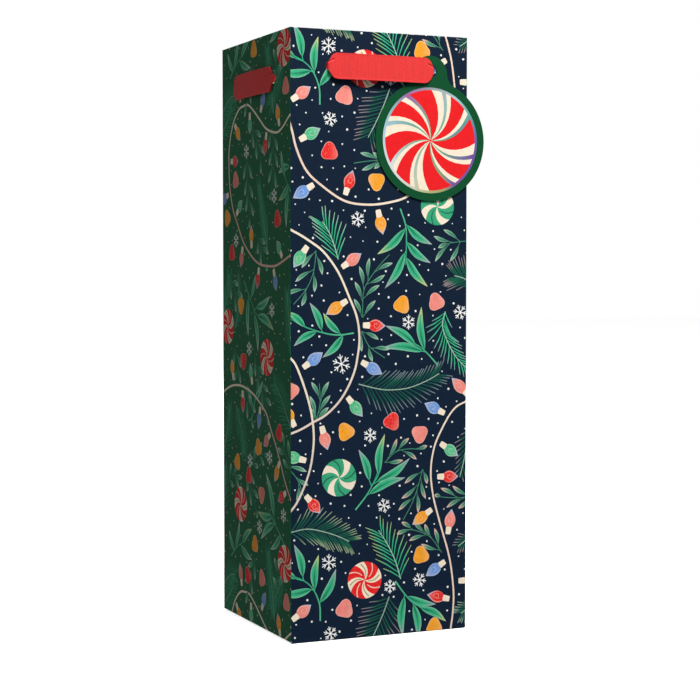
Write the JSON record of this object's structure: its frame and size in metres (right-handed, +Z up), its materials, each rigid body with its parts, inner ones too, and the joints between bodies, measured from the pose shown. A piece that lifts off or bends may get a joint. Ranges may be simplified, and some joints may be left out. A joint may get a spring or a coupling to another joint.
{
  "type": "wine gift bag",
  "caption": "Tall square paper gift bag for a wine bottle, with a turned-in top, a ribbon threaded round the mouth and a round card tag.",
  "frame": {"origin": "middle of the bag's underside, on the surface that it stands on", "axes": "+Z up to the open mouth; the front wall, which has the tag, faces -Y and the left wall faces -X"},
  "size_m": [0.1269, 0.1178, 0.3556],
  "materials": {
    "front_print": "matt art paper, dark navy ground printed with holiday lights, sprigs and sweets",
    "side_print": "matt art paper, dark green ground with the same kind of print",
    "board": "uncoated grey chipboard",
    "ribbon": "red grosgrain ribbon with fine cross ribs",
    "tag_card": "dark green card, printed red and cream swirl with an iridescent foil ring"
  },
  "bodies": {
    "bag": {"front_panel": "front_print", "front_top_hem": "front_print", "front_top_board": "board", "front_base_flap": "front_print", "back_panel": "front_print", "back_top_hem": "front_print", "back_top_board": "board", "back_base_flap": "front_print", "left_panel": "side_print", "left_top_hem": "side_print", "left_base_flap": "side_print", "right_panel": "side_print", "right_top_hem": "side_print", "right_base_flap": "side_print", "side_seam_flap": "side_print", "front_left_corner_run": "ribbon", "front_right_corner_run": "ribbon", "back_left_corner_run": "ribbon", "back_right_corner_run": "ribbon", "ribbon_lap": "ribbon"},
    "base_board": {"base_board": "board"},
    "gift_tag": {"gift_tag": "tag_card"},
    "front_strap": {"front_strap": "ribbon"},
    "right_strap": {"right_strap": "ribbon"},
    "back_strap": {"back_strap": "ribbon"},
    "left_strap": {"left_strap": "ribbon"}
  },
  "joints": [
    {"name": "front_strap_pull", "type": "slide", "parent": "bag", "child": "front_strap", "axis": [0, -1, 0], "range_m": [0, 0.004]},
    {"name": "right_strap_pull", "type": "slide", "parent": "bag", "child": "right_strap", "axis": [1, 0, 0], "range_m": [0, 0.004]},
    {"name": "back_strap_pull", "type": "slide", "parent": "bag", "child": "back_strap", "axis": [0, 1, 0], "range_m": [0, 0.004]},
    {"name": "left_strap_pull", "type": "slide", "parent": "bag", "child": "left_strap", "axis": [-1, 0, 0], "range_m": [0, 0.004]},
    {"name": "tag_swing", "type": "hinge", "parent": "front_strap", "child": "gift_tag", "pos_m": [0.03225, -0.05765, 0.3346], "axis": [0, -1, 0], "range_deg": [-48, 90]},
    {"name": "base_board_lift", "type": "slide", "parent": "bag", "child": "base_board", "axis": [0, 0, 1], "range_m": [0, 0.32]}
  ]
}
